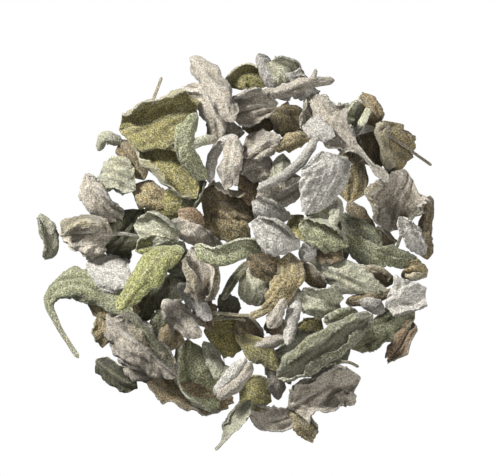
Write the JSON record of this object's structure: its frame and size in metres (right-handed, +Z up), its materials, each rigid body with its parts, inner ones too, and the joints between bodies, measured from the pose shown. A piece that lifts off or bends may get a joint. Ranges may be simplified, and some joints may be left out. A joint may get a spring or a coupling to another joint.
{
  "type": "bunch of dried sage leaves",
  "caption": "Loose round heap of dried, curled sage leaves and leaf stalks, grey-green and felted, lying flat on a surface.",
  "frame": {"origin": "on the surface that the heap lies on, under the middle of its bounding box", "axes": "+Z up, +Y towards the top edge of the picture, +X to its right"},
  "size_m": [0.121, 0.12, 0.0207],
  "materials": {
    "dark_leaf": "dark grey-green, matte",
    "olive_leaf": "olive, pebbled, matte",
    "tan_leaf": "grey-tan, matte",
    "brown_leaf": "grey-brown, matte",
    "green_leaf": "dull green, matte",
    "sage_leaf": "pale sage green, felted",
    "grey_leaf": "warm grey, felted",
    "lilac_leaf": "pale lilac grey, felted",
    "lime_leaf": "yellow-green, matte",
    "russet_leaf": "pink-brown, matte"
  },
  "bodies": {
    "root": {"charcoal_leaf": "dark_leaf", "low_olive_leaf": "olive_leaf", "low_tan_leaf": "tan_leaf", "brown_crumple": "brown_leaf", "left_flat_leaf": "dark_leaf", "low_green_leaf": "dark_leaf", "flat_olive_leaf": "green_leaf", "dark_green_leaf": "olive_leaf", "creamy_edged_leaf": "olive_leaf", "brown_fan_leaf": "brown_leaf", "dark_brown_leaf": "brown_leaf", "ribbed_dark_leaf": "olive_leaf", "brown_grey_leaf": "brown_leaf", "grey_tan_leaf": "tan_leaf", "grey_green_bit": "green_leaf", "stray_roll": "sage_leaf", "pale_sage_leaf": "sage_leaf", "grey_pink_roll": "grey_leaf", "top_olive_fold": "olive_leaf", "top_light_roll": "lilac_leaf", "narrow_grey_roll": "grey_leaf", "grey_brown_boat": "grey_leaf", "brown_boat": "brown_leaf", "ringed_tan_leaf": "tan_leaf", "right_brown_roll": "brown_leaf", "toothed_green_leaf": "green_leaf", "green_half_leaf": "green_leaf", "dark_right_roll": "brown_leaf", "warm_grey_cup": "grey_leaf", "brown_ring": "brown_leaf", "dark_brown_knot": "brown_leaf", "pale_green_leaf": "sage_leaf", "centre_grey_leaf": "grey_leaf", "green_arched_roll": "green_leaf", "creased_grey_leaf": "grey_leaf", "light_grey_roll": "grey_leaf", "lilac_grey_roll": "lilac_leaf", "hairpin_roll": "lilac_leaf", "warm_grey_crumple": "grey_leaf", "pale_stalk": "lilac_leaf", "tan_stalked_leaf": "tan_leaf", "pink_tan_leaf": "russet_leaf", "light_double_roll": "grey_leaf", "creamy_wavy_leaf": "green_leaf", "centre_light_leaf": "lilac_leaf", "grey_top_roll": "grey_leaf", "long_grey_roll": "grey_leaf", "warm_thick_roll": "grey_leaf", "crumpled_stalked_leaf": "grey_leaf", "long_pale_stalk": "lilac_leaf", "lilac_arch": "lilac_leaf", "house_shaped_leaf": "lilac_leaf", "very_pale_leaf": "lilac_leaf", "spiral_scroll": "sage_leaf", "long_double_roll": "sage_leaf", "light_curled_cup": "grey_leaf", "yellow_sage_leaf": "sage_leaf", "bright_half_roll": "lime_leaf", "upper_olive_leaf": "olive_leaf", "grey_green_strap": "green_leaf"}
  },
  "joints": []
}
